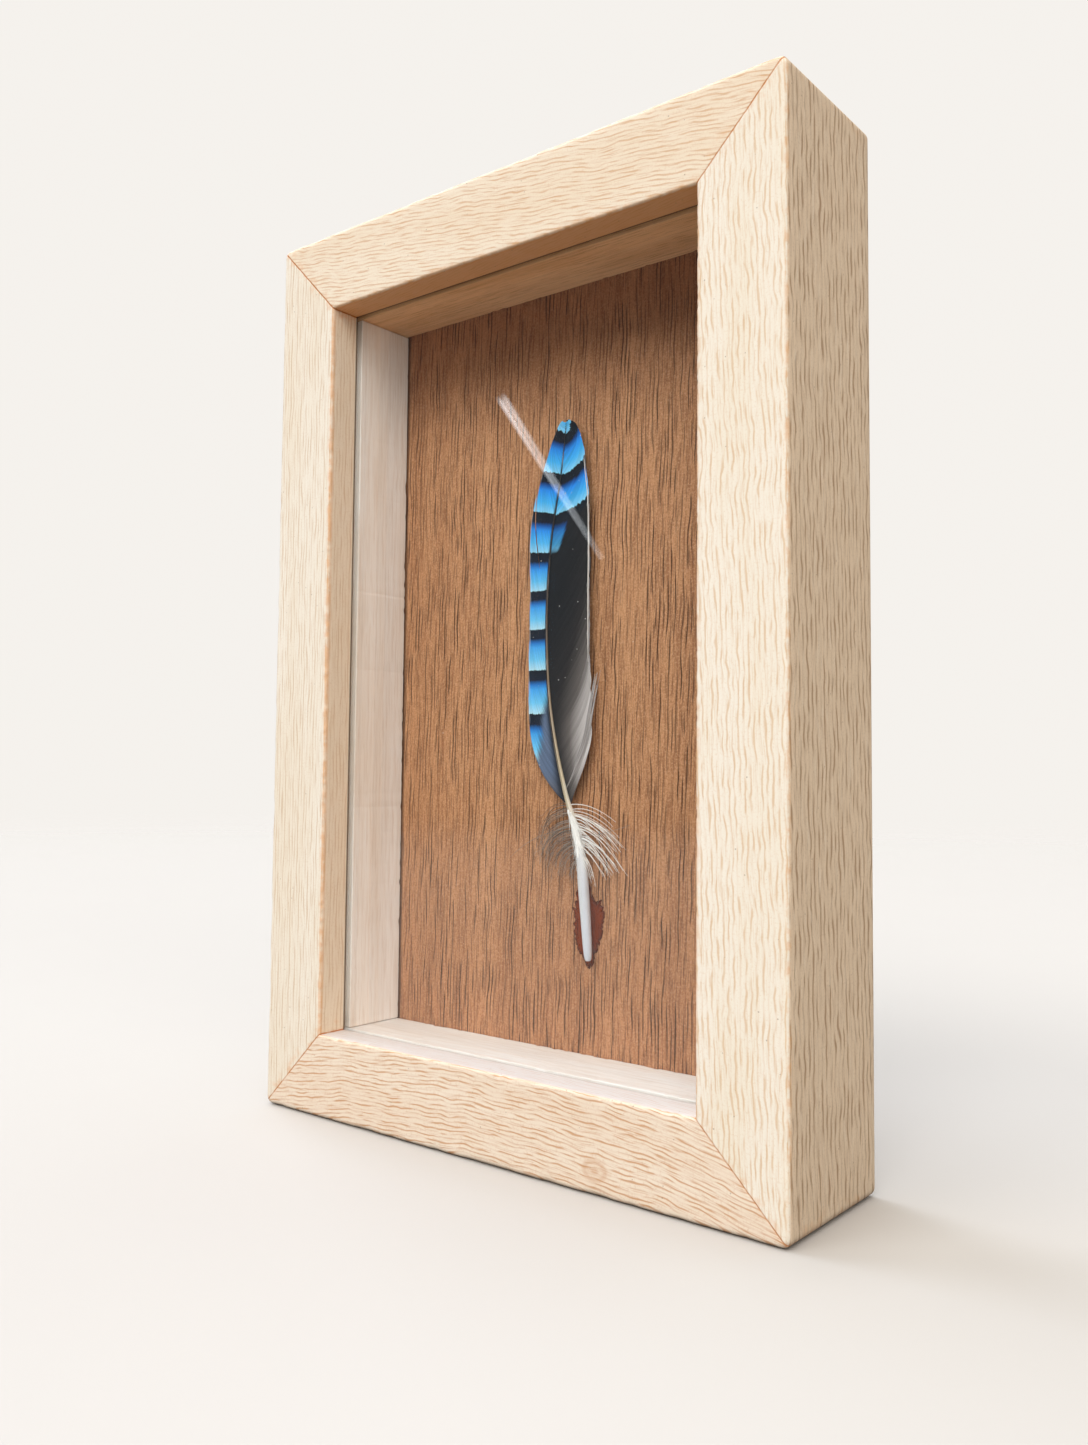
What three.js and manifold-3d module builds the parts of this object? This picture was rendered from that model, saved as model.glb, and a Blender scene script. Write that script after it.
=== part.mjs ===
// Small standing display frame with one barred wing feather.
// Four mitred mouldings in pale wood hold a glass pane, four spacer strips and a dark veneered panel.
// The feather lies on the panel behind the glass, and a spot of glue holds its quill.
// Millimetres, +Z up. The origin is the middle of the frame's foot: X runs across, -Y is the glazed
// front and +Y the back.
import * as THREE from "three";
import { LoftGeometry } from "three/addons/geometries/LoftGeometry.js";
import { mergeVertices } from "three/addons/utils/BufferGeometryUtils.js";
import Module from "manifold-3d";

// Driving dimensions of the frame
const FRAME_WIDTH = 70;
const FRAME_HEIGHT = 105.5;
const FRAME_DEPTH = 18;
const FACE_WIDTH = 9.4; // moulding, seen from the front
const LIP_DEPTH = 4; // front lip that holds the glass in
const REBATE = 4; // step behind the lip for glass, spacers and panel
const CORNER_RADIUS = 0.9; // the outside corners, seen from the front
const FRONT_EDGE_RADIUS = 0.5;
const BACK_EDGE_RADIUS = 0.7;
const EDGE_FACETS = 3; // of each quarter round
const SIGHT_RADIUS = 0.4; // inner edge of the front face
const SIGHT_FACETS = 3;
const MITRE_GAP = 0.1; // glue line between two mouldings

// What is stacked in the rebate, from the lip to the back
const GLASS_DEPTH = 1.5;
const SPACER_DEPTH = 8.1;
const PANEL_DEPTH = 3;
const STACK_GAP = 0.05; // between two layers
const SIDE_PLAY = 0.15; // between a layer's edge and the moulding

// The feather, as (x, z) on the panel: its shaft from the quill's cut end to the tip
const SHAFT_LINE = [
  [4.6, 19.8], [4.0, 26.4], [3.2, 32.6], [1.3, 38.0], [-0.8, 46.2],
  [-1.65, 55.9], [-1.0, 67.1], [0.3, 74.3], [1.2, 79.9],
];
// Radius of the shaft at shares of its length: blunt cut end, hollow quill, then a long taper
const SHAFT_RADII = [
  [0, 0.42], [0.012, 0.58], [0.08, 0.66], [0.16, 0.62], [0.22, 0.48],
  [0.3, 0.34], [0.45, 0.25], [0.65, 0.18], [0.85, 0.12], [1, 0.05],
];
const SHAFT_SIDES = 8;
const SHAFT_STATIONS = 28;
const VANE_THICKNESS = 0.3;
const VANE_SINK = 0.06; // how far behind the shaft's middle the vanes lie
const EDGE_SEGMENTS = 3; // facets between two outline points

// Outline of both vanes. The narrow outer vane comes first, from its foot up the free edge to the top of
// a loose strip, down and up the slit beside that strip, and on to the feather's tip.
const VANE_FOOT = [1.75, 36.6];
const OUTER_EDGE_LOW = [
  [-0.5, 38.5], [-2.0, 40.1], [-3.0, 42.0], [-4.1, 46.6], [-4.45, 52.0],
  [-4.4, 60.8], [-4.6, 67.1], [-3.9, 71.4], [-3.1, 74.4],
];
const SLIT_DOWN = [[-3.7, 70.4], [-3.65, 67.1], [-3.15, 64.0], [-2.6, 61.2]];
const SLIT_UP = [[-2.9, 64.0], [-3.25, 67.1], [-3.3, 70.4], [-2.75, 74.7]];
const OUTER_EDGE_HIGH = [[-2.2, 76.0], [-1.6, 77.8], [-0.8, 79.2], [0.2, 80.2], [1.2, 80.45]];
// The broad inner vane follows, down its free edge to a notch, out to a loose lock's tip, and to the foot
const INNER_EDGE_HIGH = [
  [2.7, 79.2], [3.5, 76.3], [4.1, 71.8], [4.3, 65.0], [4.3, 54.0], [4.6, 51.7], [4.5, 49.7], [4.4, 46.8],
];
const LOCK_BACK = [[4.85, 47.9], [5.35, 49.6], [6.0, 51.6]];
const INNER_EDGE_LOW = [
  [5.65, 49.2], [5.2, 46.9], [4.75, 45.7], [4.3, 43.5], [4.0, 41.3], [3.2, 39.8], [2.6, 38.4], [1.95, 36.6],
];

// Downy locks at the vanes' foot: roots along the shaft, and the line that each side's tips reach
const DOWN_LOCKS = 22; // on each side
const DOWN_ROOTS = [36.6, 30.2]; // z of the first and the last root
const ROOT_PLACES = 200; // places along the shaft that a root can take
const DOWN_TIPS = {
  outer: [[-1.4, 36.6], [-2.7, 33.4], [-3.3, 29.6], [-0.4, 28.0], [2.5, 27.4]],
  inner: [[8.0, 35.2], [9.4, 31.4], [7.8, 29.6], [5.9, 28.2], [4.9, 27.2]],
};
const DOWN_RISE = 0.9; // how far a lock arches above the straight line from root to tip
const DOWN_RADIUS = 0.13; // at the root
const DOWN_TIP_RADIUS = 0.04;
const DOWN_STATIONS = 5;
const DOWN_SIDES = 4;

// The glue spot, as (x, z) on the panel, with ragged corners where it ran along the grain
const GLUE_OUTLINE = [
  [4.1, 28.0], [4.7, 26.9], [5.1, 26.2], [5.6, 26.5], [5.9, 26.1], [6.1, 24.7], [5.9, 23.1], [5.4, 21.2],
  [4.8, 19.9], [4.6, 19.3], [4.0, 18.5], [3.5, 19.1], [3.0, 19.7], [2.3, 20.8], [1.8, 22.4],
  [1.6, 24.3], [1.65, 25.6], [2.0, 26.9], [2.5, 27.5],
];
const GLUE_DEPTH = 0.25;
const GLUE_CLEARANCE = 0.1; // between the glue and the round of the quill

// Places that follow from the dimensions
const FRONT = -FRAME_DEPTH / 2;
const GLASS_FRONT = FRONT + LIP_DEPTH;
const SPACER_FRONT = GLASS_FRONT + GLASS_DEPTH;
const PANEL_FRONT = SPACER_FRONT + SPACER_DEPTH;
const REBATE_WALL = FACE_WIDTH - REBATE;
const QUILL_RADIUS = Math.max(...SHAFT_RADII.map(([, radius]) => radius));
const FEATHER_PLANE = PANEL_FRONT - GLUE_DEPTH - GLUE_CLEARANCE - QUILL_RADIUS;

const MERGE_DISTANCE = 1e-4; // vertices closer than this are one

const wasm = await Module();
wasm.setup();

// Finishes: each piece gets a material of its own
const finish = (color, roughness, extra = {}) => () =>
  new THREE.MeshStandardMaterial({ color, roughness, metalness: 0, ...extra });
const paleWood = finish(0xe6cfae, 0.6);
const spacerWood = finish(0xd9c6b0, 0.6);
const panelVeneer = finish(0x8a5a3a, 0.55);
const clearGlass = finish(0xf4f8f6, 0.03, { transparent: true, opacity: 0.15 });
const barredFeather = finish(0x2f6fb4, 0.5);
const driedGlue = finish(0x4a2312, 0.2);

// A closed geometry as a solid, and back
function solidOf(geometry) {
  const bare = new THREE.BufferGeometry();
  bare.setAttribute("position", geometry.getAttribute("position").clone());
  if (geometry.index) bare.setIndex(geometry.index.clone());
  const merged = mergeVertices(bare, MERGE_DISTANCE);
  return new wasm.Manifold(
    new wasm.Mesh({
      numProp: 3,
      vertProperties: new Float32Array(merged.attributes.position.array),
      triVerts: new Uint32Array(merged.index.array),
    }),
  );
}

function geometryOf(solid) {
  const { vertProperties, triVerts } = solid.getMesh();
  const geometry = new THREE.BufferGeometry();
  geometry.setAttribute("position", new THREE.BufferAttribute(vertProperties, 3));
  geometry.setIndex(new THREE.BufferAttribute(triVerts, 1));
  geometry.computeVertexNormals();
  return geometry;
}

function named(name, geometry, finishOf) {
  const mesh = new THREE.Mesh(geometry, finishOf());
  mesh.name = name;
  return mesh;
}

// The moulding's L-shaped section: x runs inwards from the outer face, y runs back from the front face
function mouldingSection() {
  const section = new THREE.Shape();
  section.moveTo(0, 0);
  section.lineTo(FACE_WIDTH - SIGHT_RADIUS, 0);
  section.absarc(FACE_WIDTH - SIGHT_RADIUS, SIGHT_RADIUS, SIGHT_RADIUS, -Math.PI / 2, 0, false);
  section.lineTo(FACE_WIDTH, LIP_DEPTH);
  section.lineTo(REBATE_WALL, LIP_DEPTH);
  section.lineTo(REBATE_WALL, FRAME_DEPTH);
  section.lineTo(0, FRAME_DEPTH);
  section.closePath();
  return section;
}

// The whole frame's rounded outside, as rings from the front face to the back, each a rectangle with
// round corners that draws in where the front or the back edge is rounded off
function frameEnvelope(length, across) {
  const rings = [];
  const addRing = (depth, inset) => {
    const radius = CORNER_RADIUS - inset;
    const right = length / 2 - CORNER_RADIUS;
    const low = CORNER_RADIUS;
    const high = across - CORNER_RADIUS;
    const quarter = Math.PI / 2;
    const outline = new THREE.Path();
    outline.absarc(right, low, radius, 0, -quarter, true);
    outline.absarc(-right, low, radius, -quarter, -2 * quarter, true);
    outline.absarc(-right, high, radius, -2 * quarter, -3 * quarter, true);
    outline.absarc(right, high, radius, -3 * quarter, -4 * quarter, true);
    rings.push(outline.getPoints(EDGE_FACETS).map((point) => new THREE.Vector3(point.x, depth, point.y)));
  };
  for (let i = 0; i <= EDGE_FACETS; i++) {
    const angle = (Math.PI / 2) * (i / EDGE_FACETS);
    addRing(FRONT_EDGE_RADIUS * (1 - Math.cos(angle)), FRONT_EDGE_RADIUS * (1 - Math.sin(angle)));
  }
  for (let i = EDGE_FACETS; i >= 0; i--) {
    const angle = (Math.PI / 2) * (i / EDGE_FACETS);
    addRing(FRAME_DEPTH - BACK_EDGE_RADIUS * (1 - Math.cos(angle)), BACK_EDGE_RADIUS * (1 - Math.sin(angle)));
  }
  return new LoftGeometry(rings, { capStart: true, capEnd: true });
}

// One mitred moulding. Locally X is its length, Y its depth from the front, and Z runs inwards.
// Both ends are sheared to 45 degrees, and the outer edges take the round of the whole frame.
function moulding(length, across) {
  const rail = new THREE.ExtrudeGeometry(mouldingSection(), {
    depth: 2,
    bevelEnabled: false,
    curveSegments: SIGHT_FACETS,
  });
  const place = rail.getAttribute("position");
  const endGap = MITRE_GAP * Math.SQRT1_2;
  for (let i = 0; i < place.count; i++) {
    const inwards = place.getX(i);
    const side = 1 - place.getZ(i);
    place.setXYZ(i, side * (length / 2 - inwards - endGap), place.getY(i), inwards);
  }
  return geometryOf(solidOf(rail).intersect(solidOf(frameEnvelope(length, across))));
}

function mouldings() {
  const group = new THREE.Group();
  const half = FRAME_WIDTH / 2;
  const middle = FRAME_HEIGHT / 2;
  const sides = [
    ["frame_bottom", FRAME_WIDTH, FRAME_HEIGHT, [0, 0], 0],
    ["frame_right", FRAME_HEIGHT, FRAME_WIDTH, [half, middle], -Math.PI / 2],
    ["frame_top", FRAME_WIDTH, FRAME_HEIGHT, [0, FRAME_HEIGHT], Math.PI],
    ["frame_left", FRAME_HEIGHT, FRAME_WIDTH, [-half, middle], Math.PI / 2],
  ];
  for (const [name, length, across, [x, z], turn] of sides) {
    const mesh = named(name, moulding(length, across), paleWood);
    mesh.position.set(x, FRONT, z);
    mesh.rotation.y = turn;
    group.add(mesh);
  }
  return group;
}

// A flat layer in the rebate: its front face, its depth and how far it stops short of the outer faces
function layer(name, front, depth, inset, finishOf) {
  const width = FRAME_WIDTH - 2 * inset;
  const height = FRAME_HEIGHT - 2 * inset;
  const mesh = named(name, new THREE.BoxGeometry(width, depth - STACK_GAP, height), finishOf);
  mesh.position.set(0, front + depth / 2, FRAME_HEIGHT / 2);
  return mesh;
}

// Strips between glass and panel, flush with the lip. The top and bottom ones run the whole width.
function spacers() {
  const group = new THREE.Group();
  const thickness = REBATE - SIDE_PLAY;
  const depth = SPACER_DEPTH - STACK_GAP;
  const inset = FACE_WIDTH - thickness / 2;
  const across = FRAME_WIDTH - 2 * (REBATE_WALL + SIDE_PLAY);
  const upright = FRAME_HEIGHT - 2 * FACE_WIDTH - 2 * STACK_GAP;
  const strips = [
    ["spacer_bottom", [across, thickness], [0, inset]],
    ["spacer_top", [across, thickness], [0, FRAME_HEIGHT - inset]],
    ["spacer_left", [thickness, upright], [inset - FRAME_WIDTH / 2, FRAME_HEIGHT / 2]],
    ["spacer_right", [thickness, upright], [FRAME_WIDTH / 2 - inset, FRAME_HEIGHT / 2]],
  ];
  for (const [name, [sizeX, sizeZ], [x, z]] of strips) {
    const mesh = named(name, new THREE.BoxGeometry(sizeX, depth, sizeZ), spacerWood);
    mesh.position.set(x, SPACER_FRONT + SPACER_DEPTH / 2, z);
    group.add(mesh);
  }
  return group;
}

const toPoints = (pairs) => pairs.map(([x, z]) => new THREE.Vector2(x, z));
const inFeatherPlane = ([x, z]) => new THREE.Vector3(x, FEATHER_PLANE, z);

// The value at t of a line given as [t, value] pairs
function valueAt(pairs, t) {
  const next = Math.max(1, pairs.findIndex(([at]) => at >= t));
  const [t0, v0] = pairs[next - 1];
  const [t1, v1] = pairs[next];
  return THREE.MathUtils.lerp(v0, v1, (t - t0) / (t1 - t0));
}

// A round bar along a curve in the feather's plane, with its radius given at each share of the length
function taperedBar(curve, radiusAt, stations, sides) {
  const depth = new THREE.Vector3(0, 1, 0);
  const sections = [];
  for (let i = 0; i <= stations; i++) {
    const share = i / stations;
    const middle = curve.getPointAt(share);
    const across = curve.getTangentAt(share).cross(depth).normalize();
    const ring = [];
    for (let j = 0; j < sides; j++) {
      const angle = (-2 * Math.PI * j) / sides;
      ring.push(
        middle.clone()
          .addScaledVector(across, radiusAt(share) * Math.cos(angle))
          .addScaledVector(depth, radiusAt(share) * Math.sin(angle)),
      );
    }
    sections.push(ring);
  }
  return new LoftGeometry(sections, { capStart: true, capEnd: true });
}

// Both vanes as one flat blade, as thick as the barbs lie
function vanes() {
  const stretches = [
    OUTER_EDGE_LOW, SLIT_DOWN, SLIT_UP, OUTER_EDGE_HIGH, INNER_EDGE_HIGH, LOCK_BACK, INNER_EDGE_LOW,
  ];
  const outline = new THREE.Shape();
  outline.moveTo(...VANE_FOOT);
  for (const stretch of stretches) outline.splineThru(toPoints(stretch));
  outline.closePath();
  const blade = new THREE.ExtrudeGeometry(outline, {
    depth: VANE_THICKNESS,
    bevelEnabled: false,
    curveSegments: EDGE_SEGMENTS,
  });
  blade.rotateX(Math.PI / 2);
  blade.translate(0, FEATHER_PLANE + VANE_SINK + VANE_THICKNESS / 2, 0);
  return blade;
}

// Downy locks on one side: each leaves the shaft, arches and droops to its place on the line of tips
function downLocks(shaft, tipLine) {
  const tips = new THREE.CatmullRomCurve3(tipLine.map(inFeatherPlane));
  const shaftPoints = shaft.getSpacedPoints(ROOT_PLACES);
  const locks = [];
  for (let i = 0; i < DOWN_LOCKS; i++) {
    const share = i / (DOWN_LOCKS - 1);
    const rootHeight = THREE.MathUtils.lerp(...DOWN_ROOTS, share);
    const root = shaftPoints.find((point) => point.z >= rootHeight);
    const tip = tips.getPointAt(share);
    const crest = root.clone().lerp(tip, 0.5);
    crest.z += DOWN_RISE;
    const curve = new THREE.QuadraticBezierCurve3(root, crest, tip);
    const radiusAt = (along) => THREE.MathUtils.lerp(DOWN_RADIUS, DOWN_TIP_RADIUS, along);
    locks.push(taperedBar(curve, radiusAt, DOWN_STATIONS, DOWN_SIDES));
  }
  return locks;
}

// The feather grew as one piece, so its shaft, vanes and down are one solid
function feather() {
  const shaft = new THREE.CatmullRomCurve3(SHAFT_LINE.map(inFeatherPlane));
  const grown = [
    taperedBar(shaft, (share) => valueAt(SHAFT_RADII, share), SHAFT_STATIONS, SHAFT_SIDES),
    vanes(),
    ...downLocks(shaft, DOWN_TIPS.outer),
    ...downLocks(shaft, DOWN_TIPS.inner),
  ];
  const whole = grown.map(solidOf).reduce((joined, piece) => joined.add(piece));
  return named("feather", geometryOf(whole), barredFeather);
}

function glueSpot() {
  const shape = new THREE.Shape(toPoints(GLUE_OUTLINE));
  const film = new THREE.ExtrudeGeometry(shape, { depth: GLUE_DEPTH - STACK_GAP, bevelEnabled: false });
  film.rotateX(Math.PI / 2);
  const mesh = named("glue_spot", film, driedGlue);
  mesh.position.y = PANEL_FRONT;
  return mesh;
}

const framedFeather = new THREE.Group();
framedFeather.add(
  mouldings(),
  layer("glass_pane", GLASS_FRONT, GLASS_DEPTH, REBATE_WALL + SIDE_PLAY, clearGlass),
  spacers(),
  layer("backing_panel", PANEL_FRONT, PANEL_DEPTH, REBATE_WALL + SIDE_PLAY, panelVeneer),
  glueSpot(),
  feather(),
);

export default framedFeather;
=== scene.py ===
from math import pi, radians
import bpy
import numpy as np
from mathutils import Matrix, Vector


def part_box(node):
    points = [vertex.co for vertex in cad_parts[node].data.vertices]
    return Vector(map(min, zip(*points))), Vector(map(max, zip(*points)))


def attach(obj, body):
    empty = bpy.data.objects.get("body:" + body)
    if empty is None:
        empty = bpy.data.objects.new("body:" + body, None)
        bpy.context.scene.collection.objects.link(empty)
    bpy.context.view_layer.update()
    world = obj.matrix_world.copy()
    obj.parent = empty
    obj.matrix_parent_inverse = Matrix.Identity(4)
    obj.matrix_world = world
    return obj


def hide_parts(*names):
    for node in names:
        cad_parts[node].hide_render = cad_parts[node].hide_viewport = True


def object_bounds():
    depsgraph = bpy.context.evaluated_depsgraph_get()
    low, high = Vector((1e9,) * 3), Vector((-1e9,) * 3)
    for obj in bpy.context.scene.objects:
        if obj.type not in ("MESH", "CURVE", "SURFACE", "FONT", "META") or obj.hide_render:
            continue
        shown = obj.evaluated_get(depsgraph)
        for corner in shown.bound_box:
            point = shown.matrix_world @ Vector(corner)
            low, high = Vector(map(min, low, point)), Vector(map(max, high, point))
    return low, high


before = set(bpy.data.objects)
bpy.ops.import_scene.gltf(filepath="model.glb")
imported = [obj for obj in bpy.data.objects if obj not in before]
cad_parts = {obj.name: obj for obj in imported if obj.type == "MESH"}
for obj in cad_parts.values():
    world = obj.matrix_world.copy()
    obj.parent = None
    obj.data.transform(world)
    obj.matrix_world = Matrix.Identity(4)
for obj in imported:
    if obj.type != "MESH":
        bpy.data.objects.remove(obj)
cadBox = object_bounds()
mm = 0.001  # shapes are worked out in millimetres
scene = bpy.context.scene
print("frame loaded")


def boxOf(node):
    low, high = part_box(node)
    return np.array(low) / mm, np.array(high) / mm


outerLow, outerHigh = np.array(cadBox[0]) / mm, np.array(cadBox[1]) / mm
wide, deep, tall = outerHigh - outerLow
faceWidth = boxOf("frame_left")[1][0] - outerLow[0]
panelFront = boxOf("backing_panel")[0][1]
featherPlane = sum(boxOf("feather"))[1] / 2


# smooth curve: cubic Hermite stretches whose slope at each knot is the central difference
def curveThrough(knots, values):
    knots, values = np.array(knots, float), np.array(values, float)
    slopes = np.gradient(values, knots)

    def at(t):
        t = np.clip(t, knots[0], knots[-1])
        i = np.clip(np.searchsorted(knots, t) - 1, 0, len(knots) - 2)
        h = knots[i + 1] - knots[i]
        s = (t - knots[i]) / h
        start = (2 * s**3 - 3 * s**2 + 1) * values[i] + (s**3 - 2 * s**2 + s) * h * slopes[i]
        return start + (3 * s**2 - 2 * s**3) * values[i + 1] + (s**3 - s**2) * h * slopes[i + 1]
    return at


# waver: seeded heights from -1 to 1 at evenly spaced knots, eased from one to the next by a cosine
def waver(t, pitch, seed):
    t = np.asarray(t, float) / pitch
    heights = np.random.default_rng(seed).uniform(-1, 1, 2048)
    i = np.floor(t).astype(int)
    s = (1 - np.cos(np.pi * (t - i))) / 2
    return heights[i % 2048] * (1 - s) + heights[(i + 1) % 2048] * s


# eased step from 0 at low to 1 at high
def easeStep(low, high, t):
    s = np.clip((t - low) / (high - low), 0, 1)
    return s * s * (3 - 2 * s)


# quads between neighbours of a grid whose columns close into rings, repeated for several equal grids
def ringQuads(rows, columns, grids=1):
    r, c = np.meshgrid(np.arange(rows - 1), np.arange(columns), indexing="ij")
    n = (c + 1) % columns
    quads = np.stack([r * columns + c, r * columns + n, (r + 1) * columns + n, (r + 1) * columns + c], -1)
    starts = np.arange(grids)[:, None, None] * rows * columns
    return (quads.reshape(1, -1, 4) + starts).reshape(-1, 4)


# end caps: the first ring of each grid turned round, and the last ring as it runs
def ringCaps(rows, columns, grids=1):
    ring = np.arange(columns)
    starts = np.arange(grids)[:, None] * rows * columns
    return np.concatenate([starts + ring[::-1], starts + (rows - 1) * columns + ring])


# a mesh piece from one or more equal grids of points, with a value of each label at every point: if the
# enclosed volume comes out negative, every face is turned
def addPiece(name, points, node, material, sharpAngle=None, values=None):
    grids, rows, columns = (1, *points.shape[:-1])[-3:]
    quads, caps = ringQuads(rows, columns, grids), ringCaps(rows, columns, grids)
    points = points.reshape(-1, 3)
    fans = np.stack([np.repeat(caps[:, :1], columns - 2, 1), caps[:, 1:-1], caps[:, 2:]], -1)
    triangles = np.concatenate([quads[:, [0, 1, 2]], quads[:, [0, 2, 3]], fans.reshape(-1, 3)])
    a, b, c = (points[triangles[:, k]] for k in range(3))
    turn = -1 if np.sum(a * np.cross(b, c)) < 0 else 1
    mesh = bpy.data.meshes.new(name)
    mesh.from_pydata((points * mm).tolist(), [], quads[:, ::turn].tolist() + caps[:, ::turn].tolist())
    for label, value in (values or {}).items():
        layer = mesh.attributes.new(label, "FLOAT", "POINT")
        value = np.broadcast_to(value, (grids, rows, columns))
        layer.data.foreach_set("value", value.ravel().astype(np.float32))
    mesh.shade_smooth()
    if sharpAngle:
        mesh.set_sharp_from_angle(angle=radians(sharpAngle))
    mesh.materials.append(material)
    piece = bpy.data.objects.new(name, mesh)
    scene.collection.objects.link(piece)
    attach(piece, "root")
    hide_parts(node)


# sRGB 0-255 to linear
def tint(r, g, b):
    s = np.array([r, g, b]) / 255
    return (*np.where(s < 0.04045, s / 12.92, ((s + 0.055) / 1.055) ** 2.4).tolist(), 1.0)


# a colour given as three sRGB values becomes linear; sockets and linear colours pass
def colourOf(value):
    return tint(*value) if isinstance(value, tuple) and len(value) == 3 else value


tree = None  # the node tree that is being filled


def startTree(nodeTree):
    global tree
    tree = nodeTree
    tree.nodes.clear()


def put(kind, inputs=None, **settings):
    node = tree.nodes.new("ShaderNode" + kind)
    for key, value in settings.items():
        setattr(node, key, value)
    for key, value in (inputs or {}).items():
        if isinstance(value, bpy.types.NodeSocket):
            tree.links.new(value, node.inputs[key])
        else:
            node.inputs[key].default_value = value
    return node


def calc(operation, a, b=0.0):
    return put("Math", {0: a, 1: b}, operation=operation).outputs[0]


def times(first, *others):
    for other in others:
        first = calc("MULTIPLY", first, other)
    return first


def vectors(operation, a, b):
    return put("VectorMath", {0: a, 1: b}, operation=operation).outputs[0]


def stretched(vector, x, y, z):
    return vectors("MULTIPLY", vector, (x, y, z))


def parts(vector):
    return put("SeparateXYZ", {0: vector}).outputs


def blend(factor, a, b, mode="MIX"):
    inputs = {0: factor, 6: colourOf(a), 7: colourOf(b)}
    return put("Mix", inputs, data_type="RGBA", blend_type=mode).outputs[2]


# colours laid over a first one, each through its mask
def layered(colour, layers):
    for mask, tone in layers:
        colour = blend(mask, colour, tone)
    return colour


def blendValue(factor, a, b):
    return put("Mix", {0: factor, 2: a, 3: b}).outputs[0]


def remap(value, low, high, toLow=0.0, toHigh=1.0):
    inputs = {"Value": value, "From Min": low, "From Max": high, "To Min": toLow, "To Max": toHigh}
    return put("MapRange", inputs, interpolation_type="SMOOTHSTEP").outputs[0]


def ramp(value, stops):
    node = put("ValToRGB", {0: value})
    bar = node.color_ramp.elements
    bar[0].position, bar[1].position = stops[0][0], stops[-1][0]
    bar[0].color, bar[1].color = colourOf(stops[0][1]), colourOf(stops[-1][1])
    for place, colour in stops[1:-1]:
        bar.new(place).color = colourOf(colour)
    return node.outputs[0]


# a scale of three numbers stretches the noise along the axes
def noise(vector, scale, detail=2.0, rough=0.5):
    if isinstance(scale, tuple):
        vector, scale = stretched(vector, *scale), 1.0
    inputs = {"Vector": vector, "Scale": scale, "Detail": detail, "Roughness": rough}
    return put("TexNoise", inputs).outputs[0]


def attribute(label):
    return put("Attribute", attribute_name=label).outputs["Fac"]


# object coordinates in millimetres; lying pieces are turned so that their grain also runs along z
def millimetres(upright=True, shift=(0, 0, 0)):
    place = put("TexCoord").outputs["Object"]
    turn = (0, 0 if upright else radians(90), 0)
    inputs = {"Vector": place, "Scale": (1 / mm, 1 / mm, 1 / mm), "Rotation": turn, "Location": shift}
    return put("Mapping", inputs).outputs[0]


def bump(height, depth, strength=1.0):
    return put("Bump", {"Height": height, "Distance": depth * mm, "Strength": strength}).outputs[0]


def newMaterial(name):
    material = bpy.data.materials.new(name)
    material.use_nodes = True
    startTree(material.node_tree)
    return material


def surface(colour, rough, normal, gloss, more=None):
    inputs = {"Base Color": colour, "Roughness": rough, "Normal": normal, "Specular IOR Level": gloss}
    shader = put("BsdfPrincipled", {**inputs, **(more or {})})
    put("OutputMaterial", {"Surface": shader.outputs[0]})


# a group with a vector and plain numbers going in, and one socket coming out
def newGroup(name, numbers, result, kind="Float"):
    group = bpy.data.node_groups.new(name, "ShaderNodeTree")
    group.interface.new_socket("Vector", in_out="INPUT", socket_type="NodeSocketVector")
    for label in numbers:
        group.interface.new_socket(label, in_out="INPUT", socket_type="NodeSocketFloat")
    group.interface.new_socket(result, in_out="OUTPUT", socket_type="NodeSocket" + kind)
    startTree(group)
    return group, tree.nodes.new("NodeGroupInput").outputs, tree.nodes.new("NodeGroupOutput").inputs


def grouped(group, vector, *numbers):
    return put("Group", dict(enumerate((vector, *numbers))), node_tree=group).outputs[0]


# grain lines: sideways, the coordinates take on a slant, an arch and a slow noise, so that lines along z
# lean, bow and waver
def makeGrainLines():
    group, given, made = newGroup("grainLines", ["Reach", "Slant", "Arch"], "Vector", "Vector")
    slow = stretched(given["Vector"], 0.08, 0.08, 0.16)
    slow = put("TexNoise", {"Vector": slow, "Scale": 1, "Detail": 1}).outputs[1]
    away = vectors("SUBTRACT", slow, (0.5, 0.5, 0.5))
    away = put("VectorMath", {0: away, "Scale": given["Reach"]}, operation="SCALE").outputs[0]
    along = parts(given["Vector"])[2]
    bow = times(times(along, along), given["Arch"])
    lean = calc("ADD", times(along, given["Slant"]), bow)
    moved = vectors("ADD", given["Vector"], away)
    moved = vectors("ADD", moved, put("CombineXYZ", {0: lean}).outputs[0])
    tree.links.new(moved, made["Vector"])
    return group


# place across the grain, in pitches, and along it, in lengths
def acrossAlong(given):
    x, y, z = parts(given["Vector"])
    return calc("DIVIDE", calc("ADD", x, y), given["Pitch"]), calc("DIVIDE", z, given["Length"])


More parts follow.
